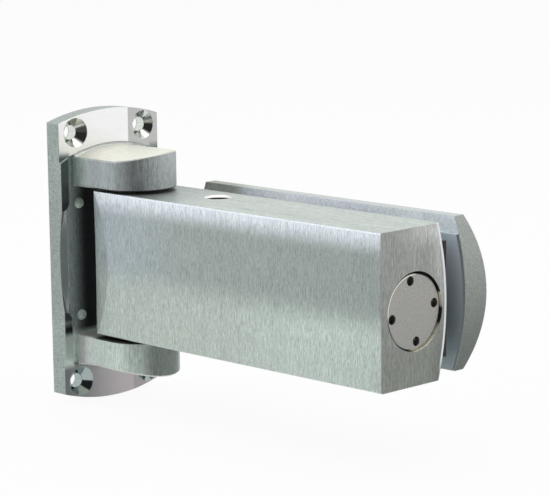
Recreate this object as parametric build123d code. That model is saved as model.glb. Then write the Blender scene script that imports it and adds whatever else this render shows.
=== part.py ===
from build123d import *
import math
import os

# Hydraulic glass door hinge: a closer body that swings between two ears on a wall plate.
# Millimetres. Origin on the plate's wall face at the body's mid-height, +X out of the wall, +Z up.
# The glass is held at the +Y side. The door is shown shut.

# Wall plate
PLATE_THICK = 9.0
PLATE_EDGE_THICK = 8.0
PLATE_HALF_WIDTH = 29.2
PLATE_CORNER_Z = 61.3
PLATE_CROWN_Z = 65.9
PLATE_RISE = 0.8
CREASE_Y = 10.7
PAD_CROWN_Z = 51.3
PAD_ARCH_RADIUS = 66.0
WALL_HOLE_Y = 20.3
WALL_HOLE_Z = 56.5
WALL_HOLE_RADIUS = 3.3
COUNTERSINK_RADIUS = 6.6
POCKET_HALF_WIDTH = 24.8
POCKET_FLOOR_X = 3.0
NOTCH_HALF_HEIGHT = 22.7
NOTCH_CORNER = PLATE_HALF_WIDTH - POCKET_HALF_WIDTH

# Pivot bracket with its ears
SEAT_GAP = 0.15
WEB_FACE_X = 6.9
EAR_NEAR_Y = -21.4
EAR_NOSE_RADIUS = 17.3
EAR_FAR_Y = EAR_NEAR_Y + 2 * EAR_NOSE_RADIUS
EAR_INNER_Z = 33.7
EAR_CROWN_Z = 50.15
EAR_ARCH_RADIUS = 67.0
EAR_EDGE_BEVEL = 0.5
EAR_ROOT_HALF_WIDTH = 21.4
EAR_ROOT_FILLET = 0.8
PIVOT_X = 31.6
PIVOT_Y = EAR_NEAR_Y + EAR_NOSE_RADIUS

# Rivets between bracket and plate
RIVET_Y = 17.6
RIVET_Z = 25.5
RIVET_RADIUS = 2.2
RIVET_HEAD_RADIUS = 2.5
RIVET_HEAD_HEIGHT = 2.0
RIVET_FOOT_X = 1.0

# Screws that lock the spindle in the ears
LOCK_SCREW_RADIUS = 2.5
LOCK_SCREW_Z = 40.0
LOCK_SCREW_LENGTH = 9.5
LOCK_SOCKET_WIDTH = 2.5
LOCK_SOCKET_DEPTH = 3.0
SPINDLE_FLAT_DEPTH = 0.6
SPINDLE_FLAT_MARGIN = 0.5

# Closer body
BODY_START_X = 20.0
BODY_END_X = 193.5
BODY_HALF_WIDTH = 20.0
BODY_HALF_HEIGHT = 32.5
BACK_BEVEL_Y = 5.0
BACK_BEVEL_Z = 7.0
TIP_CROWN_RADIUS = 153.0
TIP_CROWN_INSET = 1.0
FRONT_EDGE_RADIUS = 0.8
SCOOP_WIDTH = 8.4
SCOOP_DEPTH = 0.4
RIM_BEVEL = 0.5

# Piston bore and end plug
BORE_Z = -1.8
BORE_RADIUS = 14.05
BORE_START_X = 38.0
PLUG_INNER_X = 172.0
PLUG_THREAD_X = 179.0
PLUG_FACE_X = 192.5
PLUG_RADIUS = 15.9
PLUG_MOUTH_RADIUS = 16.3
PLUG_MOUTH_DEPTH = 1.0
PLUG_SHOULDER_GAP = 0.3
SPANNER_HOLE_RADIUS = 2.0
SPANNER_HOLE_CIRCLE = 12.65
SPANNER_HOLE_TURN = 7.7
SPANNER_HOLE_DEPTH = 2.5
PLUG_GROOVE_X = (174.0, 176.4)
PLUG_GROOVE_DEPTH = 2.05
PLUG_CORD_RADIUS = 0.98

# Spindle, its cam and its bearings
JOURNAL_RADIUS = 7.0
SHAFT_FIT = 0.03
NECK_RADIUS = 6.0
SPINDLE_TOP_Z = 42.8
SPINDLE_FOOT_Z = -48.8
SPINDLE_END_GAP = 0.2
CHAMBER_RADIUS = 10.0
CAM_HALF_HEIGHT = 5.0
ROLLER_RADIUS = 5.5
ROLLER_REST = 10.8
CAM_RISE_PER_DEGREE = 0.05
CAM_RISE_DEGREES = 92.0
CAM_CLEARANCE = 0.06
ROLLER_END_GAP = 0.2
ROLLER_X = PIVOT_X + ROLLER_REST
BEARING_OFFSET = 15.0
BEARING_LENGTH = 8.0
SEAL_LENGTH = 3.0
SEAL_LIP = 0.9
SEAL_GROOVE_FLOOR = 1.0
CAP_FACE_Z = 32.2
CAP_HOLE_RADIUS = 0.8
CAP_HOLE_DEPTH = 2.0
CAP_CLEARANCE = 0.2
WASHER_OUTER_RADIUS = 9.5
WASHER_INNER_RADIUS = 7.1
WASHER_CLEARANCE = 0.05

# Piston
PISTON_RADIUS = 14.0
FORK_TIP_X = 38.4
FORK_FLOOR_X = 52.0
FORK_HALF_GAP = 5.2
PISTON_BACK_X = 68.0
PISTON_NOSE_X = 73.0
PISTON_NOSE_RADIUS = 8.5
ROLLER_PIN_RADIUS = 2.5
ROLLER_PIN_HALF_LENGTH = 12.2
SEAL_GROOVE_X = (57.5, 61.0)
SEAL_GROOVE_RADIUS = 12.2
CHECK_BALL_RADIUS = 2.0
CHECK_SEAT_X = 62.0
CHECK_SEAT_RADIUS = 1.2
CHECK_CHAMBER_RADIUS = 2.4
RETAINER_X = (52.6, 54.0)
RETAINER_HOLE_RADIUS = 0.9

# Closing spring
SPRING_WIRE = 3.5
SPRING_MEAN_RADIUS = 10.6
SPRING_TURNS = 12
SPRING_END_GAP = 0.8
BALL_SPRING_WIRE = 0.4
BALL_SPRING_MEAN_RADIUS = 1.3
BALL_SPRING_TURNS = 4

# Speed valve in the top face
VALVE_X = 76.0
VALVE_Y = 3.0
VALVE_RADIUS = 4.0
VALVE_COUNTERSINK = 6.0
VALVE_HEAD_Z = BODY_HALF_HEIGHT - 1.4
VALVE_FOOT_Z = 21.7
VALVE_SOCKET_WIDTH = 4.0
VALVE_SOCKET_DEPTH = 3.5
VALVE_EDGE_BEVEL = 0.5
VALVE_GROOVE_Z = (23.1, 24.9)
VALVE_GROOVE_DEPTH = 1.6
VALVE_CORD_RADIUS = 0.78
NEEDLE_RADII = (0.5, 1.8)
NEEDLE_TIP_Z = 16.9
NEEDLE_CHAMBER_RADIUS = 2.4
OIL_WAY_RADIUS = 1.2
OIL_WAY_Z = 18.5
OIL_PORT_X = 47.0

# Glass clamp
GLASS_THICKNESS = 8.0
GLASS_CLEARANCE = 0.08
GASKET_THICK = 1.6
CLAMP_INNER_Y = BODY_HALF_WIDTH + 2 * GASKET_THICK + GLASS_THICKNESS + GLASS_CLEARANCE
CLAMP_EDGE_Y = 36.9
CLAMP_CROWN_Y = 44.6
CLAMP_START_X = 38.0
CLAMP_TIP_X = 192.9
CLAMP_END_RADIUS = 90.5
CLAMP_SCREW_X = (88.0, 162.0)
CLAMP_SCREW_Z = 21.0
CLAMP_SCREW_RADIUS = 3.0
CLAMP_SCREW_CLEARANCE = 0.3
CLAMP_SCREW_REACH = 12.0
CLAMP_THREAD_DEPTH = 14.0
CLAMP_HEAD_RADIUS = 5.0
CLAMP_HEAD_CLEARANCE = 0.4
CLAMP_HEAD_HEIGHT = 5.6
CLAMP_HEAD_SEAT_Y = CLAMP_EDGE_Y - 2.0
CLAMP_SOCKET_WIDTH = 5.0
CLAMP_SOCKET_DEPTH = 3.0
SLEEVE_RADIUS = 6.0
SLEEVE_INNER_CLEARANCE = 0.2
SLEEVE_OUTER_CLEARANCE = 0.1
HOUSING_GASKET_X = (42.0, 191.0)
HOUSING_GASKET_HALF_HEIGHT = 24.0
CLAMP_GASKET_Z = (-31.9, 25.2)
CLAMP_GASKET_INSET = 0.1

# Fits between pieces that don't move on each other
THREAD_FIT = 0.02
SEAL_FIT = 0.05

# How far a cutting shape reaches past the piece that it cuts
OVERRUN = 1.0
SEAM_OVERLAP = 0.01


def block(x0, x1, y0, y1, z0, z1):
    middle = ((x0 + x1) / 2, (y0 + y1) / 2, (z0 + z1) / 2)
    return Pos(*middle) * Box(x1 - x0, y1 - y0, z1 - z0)


def rod_x(radius, x0, x1, y=0.0, z=0.0):
    return Pos((x0 + x1) / 2, y, z) * Rot(0, 90, 0) * Cylinder(radius, x1 - x0)


def rod_y(radius, y0, y1, x, z):
    return Pos(x, (y0 + y1) / 2, z) * Rot(-90, 0, 0) * Cylinder(radius, y1 - y0)


def rod_z(radius, z0, z1, x=PIVOT_X, y=PIVOT_Y):
    return Pos(x, y, (z0 + z1) / 2) * Cylinder(radius, z1 - z0)


def cone_x(radius0, radius1, x0, x1, y=0.0, z=0.0):
    return Pos((x0 + x1) / 2, y, z) * Rot(0, 90, 0) * Cone(radius0, radius1, x1 - x0)


def cone_z(radius0, radius1, z0, z1, x, y):
    return Pos(x, y, (z0 + z1) / 2) * Cone(radius0, radius1, z1 - z0)


def hex_z(across_flats, z0, z1, x, y):
    outline = Plane.XY.offset(z0) * Pos(x, y) * RegularPolygon(across_flats / 2, 6, major_radius=False)
    return extrude(outline, amount=z1 - z0, dir=(0, 0, 1))


def hex_y(across_flats, y0, y1, x, z):
    outline = Plane.XZ * Pos(x, z) * RegularPolygon(across_flats / 2, 6, major_radius=False)
    return Pos(0, y0, 0) * extrude(outline, amount=y1 - y0, dir=(0, 1, 0))


def prism_z(points, z0, z1):
    outline = Plane.XY.offset(z0) * make_face(Polyline(*points, close=True))
    return extrude(outline, amount=z1 - z0, dir=(0, 0, 1))


def prism_x(points, x0, x1):
    outline = Plane.YZ.offset(x0) * make_face(Polyline(*points, close=True))
    return extrude(outline, amount=x1 - x0, dir=(1, 0, 0))


def mirrored_in_z(shape):
    return shape + mirror(shape, about=Plane.XY)


def mirrored_in_y(shape):
    return shape + mirror(shape, about=Plane.XZ)


def arch_height(y, crown, radius):
    return crown - radius + math.sqrt(radius**2 - y**2)


def arched_slab(x0, x1, half_width, corner_z, crown_z):
    top = ThreePointArc((half_width, corner_z), (0, crown_z), (-half_width, corner_z))
    left = Line((-half_width, corner_z), (-half_width, -corner_z))
    foot = ThreePointArc((-half_width, -corner_z), (0, -crown_z), (half_width, -corner_z))
    right = Line((half_width, -corner_z), (half_width, corner_z))
    outline = Plane.YZ.offset(x0) * make_face([top, left, foot, right])
    return extrude(outline, amount=x1 - x0, dir=(1, 0, 0))


def pad_slab(x0, x1, half_width, inset=0.0):
    crown = PAD_CROWN_Z - inset
    return arched_slab(x0, x1, half_width, arch_height(half_width, crown, PAD_ARCH_RADIUS), crown)


# Wall plate

def end_flanks():
    # The faces beyond the pad fall away from the crease to the thinner side edge.
    slope = (PLATE_THICK - PLATE_EDGE_THICK) / (PLATE_HALF_WIDTH - CREASE_Y)
    outer_y = PLATE_HALF_WIDTH + OVERRUN
    outer_x = PLATE_EDGE_THICK - slope * OVERRUN
    points = [
        (PLATE_THICK, CREASE_Y),
        (outer_x, outer_y),
        (PLATE_THICK + OVERRUN, outer_y),
        (PLATE_THICK + OVERRUN, CREASE_Y),
    ]
    wedge = prism_z(points, -PLATE_CROWN_Z - OVERRUN, PLATE_CROWN_Z + OVERRUN)
    return mirrored_in_y(wedge) - pad_slab(0, PLATE_THICK + 2 * OVERRUN, outer_y + OVERRUN)


def side_notch():
    # Between the ears the pocket floor runs out to the side face, where its edge is an arc.
    top_x = PLATE_THICK + OVERRUN
    inner_y = POCKET_HALF_WIDTH - SEAM_OVERLAP
    outer_y = PLATE_HALF_WIDTH
    high = NOTCH_HALF_HEIGHT
    inner_edges = [
        Line((WEB_FACE_X, inner_y, -high), (WEB_FACE_X, inner_y, high)),
        Line((WEB_FACE_X, inner_y, high), (top_x, inner_y, high)),
        Line((top_x, inner_y, high), (top_x, inner_y, -high)),
        Line((top_x, inner_y, -high), (WEB_FACE_X, inner_y, -high)),
    ]
    outer_edges = [
        ThreePointArc((PLATE_THICK, outer_y, -high), (WEB_FACE_X, outer_y, 0), (PLATE_THICK, outer_y, high)),
        Line((PLATE_THICK, outer_y, high), (top_x, outer_y, high)),
        Line((top_x, outer_y, high), (top_x, outer_y, -high)),
        Line((top_x, outer_y, -high), (PLATE_THICK, outer_y, -high)),
    ]
    middle = loft([make_face(inner_edges), make_face(outer_edges)], ruled=True)
    ramp = prism_z(
        [(WEB_FACE_X, inner_y), (PLATE_THICK, outer_y), (top_x, outer_y), (top_x, inner_y)],
        high,
        high + NOTCH_CORNER,
    )
    corner = ramp - rod_x(NOTCH_CORNER, 0, top_x + OVERRUN, outer_y, high + NOTCH_CORNER)
    return mirrored_in_y(middle + mirrored_in_z(corner))


def countersunk_hole(y, z):
    slope = (PLATE_THICK - PLATE_EDGE_THICK) / (PLATE_HALF_WIDTH - CREASE_Y)
    face_x = PLATE_THICK - slope * (abs(y) - CREASE_Y)
    sink_depth = COUNTERSINK_RADIUS - WALL_HOLE_RADIUS
    sink = cone_x(
        WALL_HOLE_RADIUS, COUNTERSINK_RADIUS + OVERRUN, face_x - sink_depth, face_x + OVERRUN, y, z
    )
    return rod_x(WALL_HOLE_RADIUS, -OVERRUN, PLATE_THICK + OVERRUN, y, z) + sink


def wall_plate():
    # The plate's outline and wall holes sit a little above the middle of the pocket and the body.
    slab = arched_slab(0, PLATE_THICK, PLATE_HALF_WIDTH, PLATE_CORNER_Z, PLATE_CROWN_Z)
    plate = Pos(0, 0, PLATE_RISE) * slab
    plate -= end_flanks()
    plate -= pad_slab(POCKET_FLOOR_X, PLATE_THICK + OVERRUN, POCKET_HALF_WIDTH)
    plate -= side_notch()
    for y in (-WALL_HOLE_Y, WALL_HOLE_Y):
        for z in (PLATE_RISE - WALL_HOLE_Z, PLATE_RISE + WALL_HOLE_Z):
            plate -= countersunk_hole(y, z)
    for y in (-RIVET_Y, RIVET_Y):
        for z in (-RIVET_Z, RIVET_Z):
            plate -= rod_x(RIVET_RADIUS + THREAD_FIT, RIVET_FOOT_X, PLATE_THICK, y, z)
    return plate


# Pivot bracket

def ear_root():
    # Within the plate's thickness the ear is a block as wide as the pocket's arch allows.
    half_width = EAR_ROOT_HALF_WIDTH
    root = pad_slab(POCKET_FLOOR_X, PLATE_THICK, half_width, SEAT_GAP)
    return root & block(POCKET_FLOOR_X, PLATE_THICK, -half_width, half_width, EAR_INNER_Z, PAD_CROWN_Z)


def ear_root_fillet():
    # The hollow round between the ear's arched outer face and the front of its root block.
    radius = EAR_ROOT_FILLET
    arch_centre_z = EAR_CROWN_Z - EAR_ARCH_RADIUS
    end_x = PLATE_THICK + radius
    near = EAR_NEAR_Y + EAR_EDGE_BEVEL
    far = EAR_FAR_Y - EAR_EDGE_BEVEL
    strip = rod_x(EAR_ARCH_RADIUS + radius, PLATE_THICK, end_x, 0, arch_centre_z)
    strip &= block(PLATE_THICK, end_x, near, far, EAR_INNER_Z + EAR_EDGE_BEVEL, EAR_CROWN_Z + radius)
    hollow = Pos(end_x, 0, arch_centre_z) * Rot(0, 90, 0) * Torus(EAR_ARCH_RADIUS + radius, radius)
    return strip - hollow


def upper_ear():
    start = (POCKET_FLOOR_X, EAR_NEAR_Y)
    near = (PIVOT_X, EAR_NEAR_Y)
    far = (PIVOT_X, EAR_FAR_Y)
    end = (POCKET_FLOOR_X, EAR_FAR_Y)
    nose = ThreePointArc(near, (PIVOT_X + EAR_NOSE_RADIUS, PIVOT_Y), far)
    outline = make_face([Line(start, near), nose, Line(far, end), Line(end, start)])
    height = EAR_CROWN_Z - EAR_INNER_Z + OVERRUN
    ear = extrude(Plane.XY.offset(EAR_INNER_Z) * outline, amount=height, dir=(0, 0, 1))
    ear &= rod_x(EAR_ARCH_RADIUS, 0, PIVOT_X + EAR_NOSE_RADIUS + OVERRUN, 0, EAR_CROWN_Z - EAR_ARCH_RADIUS)
    faces = ear.faces().sort_by(Axis.Z)
    rims = faces[-1].edges() + faces[0].edges()
    outer_rims = [edge for edge in rims if edge.center().X > PLATE_THICK]
    return chamfer(outer_rims, EAR_EDGE_BEVEL)


def lock_screw_foot_y():
    return PIVOT_Y + JOURNAL_RADIUS - SPINDLE_FLAT_DEPTH + THREAD_FIT


def pivot_bracket():
    half_width = POCKET_HALF_WIDTH - SEAT_GAP
    bracket = pad_slab(POCKET_FLOOR_X, WEB_FACE_X, half_width, SEAT_GAP)
    bracket += mirrored_in_z(upper_ear() + ear_root() + ear_root_fillet())
    bore_radius = JOURNAL_RADIUS + SHAFT_FIT
    bracket -= rod_z(bore_radius, EAR_INNER_Z - OVERRUN, SPINDLE_TOP_Z + SPINDLE_END_GAP)
    bracket -= rod_z(bore_radius, -EAR_CROWN_Z - OVERRUN, -EAR_INNER_Z + OVERRUN)
    for z in (-LOCK_SCREW_Z, LOCK_SCREW_Z):
        bracket -= rod_y(LOCK_SCREW_RADIUS + THREAD_FIT, PIVOT_Y, EAR_FAR_Y + OVERRUN, PIVOT_X, z)
    for y in (-RIVET_Y, RIVET_Y):
        for z in (-RIVET_Z, RIVET_Z):
            bracket -= rod_x(RIVET_RADIUS + THREAD_FIT, 0, WEB_FACE_X + OVERRUN, y, z)
    return bracket


def rivet(y, z):
    # A shank and a low domed head, turned about the rivet's own axis.
    foot_x = RIVET_FOOT_X + THREAD_FIT
    top_x = WEB_FACE_X + RIVET_HEAD_HEIGHT
    dome_radius = (RIVET_HEAD_RADIUS**2 + RIVET_HEAD_HEIGHT**2) / (2 * RIVET_HEAD_HEIGHT)
    half_angle = math.asin(RIVET_HEAD_RADIUS / dome_radius) / 2
    shoulder = (top_x - dome_radius * (1 - math.cos(half_angle)), dome_radius * math.sin(half_angle))
    dome = ThreePointArc((WEB_FACE_X, RIVET_HEAD_RADIUS), shoulder, (top_x, 0))
    corners = [(top_x, 0), (foot_x, 0), (foot_x, RIVET_RADIUS), (WEB_FACE_X, RIVET_RADIUS)]
    corners.append((WEB_FACE_X, RIVET_HEAD_RADIUS))
    profile = make_face([dome, *[Line(a, b) for a, b in zip(corners[:-1], corners[1:])]])
    return Pos(0, y, z) * revolve(profile, Axis.X)


def bracket_rivets():
    rivets = []
    for y in (-RIVET_Y, RIVET_Y):
        for z in (-RIVET_Z, RIVET_Z):
            rivets.append(rivet(y, z))
    return Compound(rivets)


# Spindle and cam

def cam_outline():
    # The roller's centre follows a spiral of steady rise. The cam is that path set in by the
    # roller's radius, with a round notch where the roller rests.
    rise = math.degrees(CAM_RISE_PER_DEGREE)
    offset = ROLLER_RADIUS + CAM_CLEARANCE
    points = []
    stations = 14
    for i in range(stations + 1):
        angle = math.radians(CAM_RISE_DEGREES) * i / stations
        radius = ROLLER_REST + rise * angle
        length = math.hypot(rise, radius)
        inward_radial = -radius / length
        inward_along = rise / length
        x = radius * math.cos(angle) + offset * (
            inward_radial * math.cos(angle) - inward_along * math.sin(angle)
        )
        y = radius * math.sin(angle) + offset * (
            inward_radial * math.sin(angle) + inward_along * math.cos(angle)
        )
        points.append((PIVOT_X + x, PIVOT_Y + y))
    mirrored = [(x, 2 * PIVOT_Y - y) for x, y in points]
    back = math.dist(points[-1], (PIVOT_X, PIVOT_Y))
    notch = ThreePointArc(mirrored[0], (ROLLER_X - offset, PIVOT_Y), points[0])
    rise_side = Spline(*points)
    back_arc = ThreePointArc(points[-1], (PIVOT_X - back, PIVOT_Y), mirrored[-1])
    fall_side = Spline(*mirrored)
    return make_face([notch, rise_side, back_arc, fall_side])


def cam_spindle():
    # Thick in the bearings and ears, slimmer where the piston's fork passes, with the cam between.
    cam_foot_z = BORE_Z - CAM_HALF_HEIGHT
    cam_top_z = BORE_Z + CAM_HALF_HEIGHT
    spindle = rod_z(JOURNAL_RADIUS, SPINDLE_FOOT_Z, BORE_Z - BEARING_OFFSET)
    spindle += rod_z(NECK_RADIUS, BORE_Z - BEARING_OFFSET, cam_foot_z)
    cam_foot = Plane.XY.offset(cam_foot_z) * cam_outline()
    spindle += extrude(cam_foot, amount=cam_top_z - cam_foot_z, dir=(0, 0, 1))
    spindle += rod_z(NECK_RADIUS, cam_top_z, BORE_Z + BEARING_OFFSET)
    spindle += rod_z(JOURNAL_RADIUS, BORE_Z + BEARING_OFFSET, SPINDLE_TOP_Z)
    reach = JOURNAL_RADIUS + OVERRUN
    flat_y = PIVOT_Y + JOURNAL_RADIUS - SPINDLE_FLAT_DEPTH
    flat_half_height = LOCK_SCREW_RADIUS + SPINDLE_FLAT_MARGIN
    for z in (-LOCK_SCREW_Z, LOCK_SCREW_Z):
        low = z - flat_half_height
        high = z + flat_half_height
        spindle -= block(PIVOT_X - reach, PIVOT_X + reach, flat_y, PIVOT_Y + reach, low, high)
    return spindle


def spindle_lock_screws():
    screws = []
    foot_y = lock_screw_foot_y()
    end_y = foot_y + LOCK_SCREW_LENGTH
    socket_foot_y = end_y - LOCK_SOCKET_DEPTH
    for z in (-LOCK_SCREW_Z, LOCK_SCREW_Z):
        screw = rod_y(LOCK_SCREW_RADIUS, foot_y, end_y, PIVOT_X, z)
        screws.append(screw - hex_y(LOCK_SOCKET_WIDTH, socket_foot_y, end_y + OVERRUN, PIVOT_X, z))
    return Compound(screws)


def ring_z(outer, inner, z0, z1):
    return rod_z(outer, z0, z1) - rod_z(inner, z0 - OVERRUN, z1 + OVERRUN)


def bearing_span(side):
    near = BORE_Z + side * BEARING_OFFSET
    far = near + side * BEARING_LENGTH
    return min(near, far), max(near, far)


def seal_span(side):
    near = BORE_Z + side * (BEARING_OFFSET + BEARING_LENGTH)
    far = near + side * SEAL_LENGTH
    return min(near, far), max(near, far)


def cap_span(side):
    near = BORE_Z + side * (BEARING_OFFSET + BEARING_LENGTH + SEAL_LENGTH)
    far = side * CAP_FACE_Z
    return min(near, far), max(near, far)


def bearing(side):
    low, high = bearing_span(side)
    return ring_z(CHAMBER_RADIUS - THREAD_FIT, JOURNAL_RADIUS + SHAFT_FIT, low, high)


def shaft_seal(side):
    # A lip seal: two thin walls with a groove between them, open upward.
    low, high = seal_span(side)
    seal = ring_z(CHAMBER_RADIUS - SEAL_FIT, JOURNAL_RADIUS + SEAL_FIT, low + SEAL_FIT, high - SEAL_FIT)
    groove_foot = low + SEAL_GROOVE_FLOOR
    return seal - ring_z(CHAMBER_RADIUS - SEAL_LIP, JOURNAL_RADIUS + SEAL_LIP, groove_foot, high + OVERRUN)


def bearing_cap(side):
    low, high = cap_span(side)
    cap = ring_z(CHAMBER_RADIUS - SEAL_FIT, JOURNAL_RADIUS + CAP_CLEARANCE, low, high)
    face = high if side > 0 else low
    hole_circle = (CHAMBER_RADIUS + JOURNAL_RADIUS) / 2
    for x in (PIVOT_X - hole_circle, PIVOT_X + hole_circle):
        cap -= rod_z(CAP_HOLE_RADIUS, face - CAP_HOLE_DEPTH, face + CAP_HOLE_DEPTH, x)
    return cap


def thrust_washer(side):
    near = side * (BODY_HALF_HEIGHT + WASHER_CLEARANCE)
    far = side * (EAR_INNER_Z - WASHER_CLEARANCE)
    return ring_z(WASHER_OUTER_RADIUS, WASHER_INNER_RADIUS, min(near, far), max(near, far))


# Closer body

def wall_end_scoop():
    # A very shallow hollow in the front face at its wall-side edge, widest at mid-height.
    radius = BODY_HALF_HEIGHT**2 / (2 * SCOOP_DEPTH)
    along = Vector(SCOOP_WIDTH, -SCOOP_DEPTH, 0).normalized()
    outward = Vector(-SCOOP_DEPTH, -SCOOP_WIDTH, 0).normalized()
    deepest = Vector(BODY_START_X, SCOOP_DEPTH - BODY_HALF_WIDTH, 0)
    axis_plane = Plane(origin=deepest + outward * radius, x_dir=outward, z_dir=along)
    return axis_plane * Cylinder(radius, 4 * BODY_HALF_HEIGHT)


def body_blank():
    front = -BODY_HALF_WIDTH
    back = BODY_HALF_WIDTH
    high = BODY_HALF_HEIGHT
    blank = block(BODY_START_X, BODY_END_X, front, back, -high, high)
    long_edges = blank.edges().filter_by(Axis.X).filter_by(lambda edge: edge.center().Y < 0)
    blank = fillet(long_edges, FRONT_EDGE_RADIUS)
    blank -= wall_end_scoop()
    beyond = (back + OVERRUN, high + OVERRUN)
    bevel_points = [(back - BACK_BEVEL_Y, high), (back, high - BACK_BEVEL_Z), beyond]
    blank -= mirrored_in_z(prism_x(bevel_points, BODY_START_X - OVERRUN, BODY_END_X + OVERRUN))
    # The back corner of the tip bulges at mid-height: a wide round laid at 45 degrees trims it.
    outward = Vector(1, 1, 0).normalized()
    apex = Vector(BODY_END_X, BODY_HALF_WIDTH - TIP_CROWN_INSET, 0)
    centre = apex - outward * TIP_CROWN_RADIUS
    crown_plane = Plane(origin=centre, x_dir=outward, z_dir=(-outward.Y, outward.X, 0))
    blank &= crown_plane * Cylinder(TIP_CROWN_RADIUS, 3 * BODY_END_X)
    rim = [
        edge
        for edge in blank.edges()
        if abs(edge.center().X - BODY_END_X) < 0.01 and edge.center().Y > BODY_HALF_WIDTH / 2
    ]
    tallest = max(rim, key=lambda edge: edge.length)
    return chamfer([tallest], RIM_BEVEL)


def piston_bore():
    z = BORE_Z
    bore = rod_x(BORE_RADIUS, BORE_START_X, PLUG_THREAD_X, 0, z)
    bore += rod_x(PLUG_RADIUS + SEAL_FIT, PLUG_THREAD_X - PLUG_SHOULDER_GAP, BODY_END_X + OVERRUN, 0, z)
    mouth_start = PLUG_FACE_X - PLUG_MOUTH_DEPTH
    return bore + rod_x(PLUG_MOUTH_RADIUS, mouth_start, BODY_END_X + OVERRUN, 0, z)


def valve_bore():
    top = BODY_HALF_HEIGHT
    sink_foot = top - (VALVE_COUNTERSINK - VALVE_RADIUS)
    mouth_radius = VALVE_COUNTERSINK + OVERRUN
    bore = cone_z(VALVE_RADIUS, mouth_radius, sink_foot, top + OVERRUN, VALVE_X, VALVE_Y)
    bore += rod_z(VALVE_RADIUS + SEAL_FIT, VALVE_FOOT_Z - SEAL_FIT, top, VALVE_X, VALVE_Y)
    bore += rod_z(NEEDLE_CHAMBER_RADIUS, NEEDLE_TIP_Z - SEAL_FIT, VALVE_FOOT_Z, VALVE_X, VALVE_Y)
    bore += rod_z(OIL_WAY_RADIUS, 0, OIL_WAY_Z, VALVE_X, VALVE_Y)
    bore += rod_x(OIL_WAY_RADIUS, OIL_PORT_X, VALVE_X, VALVE_Y, OIL_WAY_Z)
    return bore + rod_z(OIL_WAY_RADIUS, 0, OIL_WAY_Z + OIL_WAY_RADIUS, OIL_PORT_X, VALVE_Y)


def housing():
    body = body_blank()
    body -= piston_bore()
    body -= rod_z(CHAMBER_RADIUS, -BODY_HALF_HEIGHT - OVERRUN, BODY_HALF_HEIGHT + OVERRUN)
    body -= valve_bore()
    hole_radius = CLAMP_SCREW_RADIUS + THREAD_FIT
    hole_foot_y = BODY_HALF_WIDTH - CLAMP_THREAD_DEPTH
    for x in CLAMP_SCREW_X:
        for z in (-CLAMP_SCREW_Z, CLAMP_SCREW_Z):
            body -= rod_y(hole_radius, hole_foot_y, BODY_HALF_WIDTH + OVERRUN, x, z)
    return body


def end_plug():
    z = BORE_Z
    plug = rod_x(BORE_RADIUS - SEAL_FIT, PLUG_INNER_X, PLUG_THREAD_X, 0, z)
    head = rod_x(PLUG_RADIUS, PLUG_THREAD_X, PLUG_FACE_X, 0, z)
    plug += chamfer(head.faces().sort_by(Axis.X)[-1].edges(), RIM_BEVEL)
    groove_x0, groove_x1 = PLUG_GROOVE_X
    groove = rod_x(BORE_RADIUS + OVERRUN, groove_x0, groove_x1, 0, z)
    plug -= groove - rod_x(BORE_RADIUS - PLUG_GROOVE_DEPTH, groove_x0 - OVERRUN, groove_x1 + OVERRUN, 0, z)
    hole_foot_x = PLUG_FACE_X - SPANNER_HOLE_DEPTH
    for i in range(4):
        angle = math.radians(SPANNER_HOLE_TURN + 90 * i)
        hole_y = SPANNER_HOLE_CIRCLE * math.cos(angle)
        hole_z = z + SPANNER_HOLE_CIRCLE * math.sin(angle)
        plug -= rod_x(SPANNER_HOLE_RADIUS, hole_foot_x, PLUG_FACE_X + OVERRUN, hole_y, hole_z)
    return plug


def end_plug_o_ring():
    placed = Pos(sum(PLUG_GROOVE_X) / 2, 0, BORE_Z) * Rot(0, 90, 0)
    return placed * Torus(BORE_RADIUS - PLUG_CORD_RADIUS - THREAD_FIT, PLUG_CORD_RADIUS)


# Piston group

def piston():
    z = BORE_Z
    body = rod_x(PISTON_RADIUS, FORK_TIP_X, PISTON_BACK_X, 0, z)
    reach = PISTON_RADIUS + OVERRUN
    body -= block(FORK_TIP_X - OVERRUN, FORK_FLOOR_X, -reach, reach, z - FORK_HALF_GAP, z + FORK_HALF_GAP)
    body += rod_x(PISTON_NOSE_RADIUS, PISTON_BACK_X, PISTON_NOSE_X, 0, z)
    groove = rod_x(PISTON_RADIUS + OVERRUN, *SEAL_GROOVE_X, 0, z)
    body -= groove - rod_x(SEAL_GROOVE_RADIUS, SEAL_GROOVE_X[0] - OVERRUN, SEAL_GROOVE_X[1] + OVERRUN, 0, z)
    body -= rod_x(CHECK_CHAMBER_RADIUS, FORK_FLOOR_X - OVERRUN, CHECK_SEAT_X, 0, z)
    body -= rod_x(CHECK_SEAT_RADIUS, CHECK_SEAT_X - OVERRUN, PISTON_NOSE_X + OVERRUN, 0, z)
    return body - rod_z(ROLLER_PIN_RADIUS + THREAD_FIT, z - reach, z + reach, ROLLER_X)


def piston_seal():
    x0 = SEAL_GROOVE_X[0] + SEAL_FIT
    x1 = SEAL_GROOVE_X[1] - SEAL_FIT
    ring = rod_x(BORE_RADIUS - THREAD_FIT, x0, x1, 0, BORE_Z)
    return ring - rod_x(SEAL_GROOVE_RADIUS + SEAL_FIT, x0 - OVERRUN, x1 + OVERRUN, 0, BORE_Z)


def roller_pin():
    half_length = ROLLER_PIN_HALF_LENGTH
    return rod_z(ROLLER_PIN_RADIUS, BORE_Z - half_length, BORE_Z + half_length, ROLLER_X)


def cam_roller():
    half_height = CAM_HALF_HEIGHT - ROLLER_END_GAP
    low = BORE_Z - half_height
    high = BORE_Z + half_height
    hole = rod_z(ROLLER_PIN_RADIUS + SHAFT_FIT, low - OVERRUN, high + OVERRUN, ROLLER_X)
    return rod_z(ROLLER_RADIUS, low, high, ROLLER_X) - hole


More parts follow.
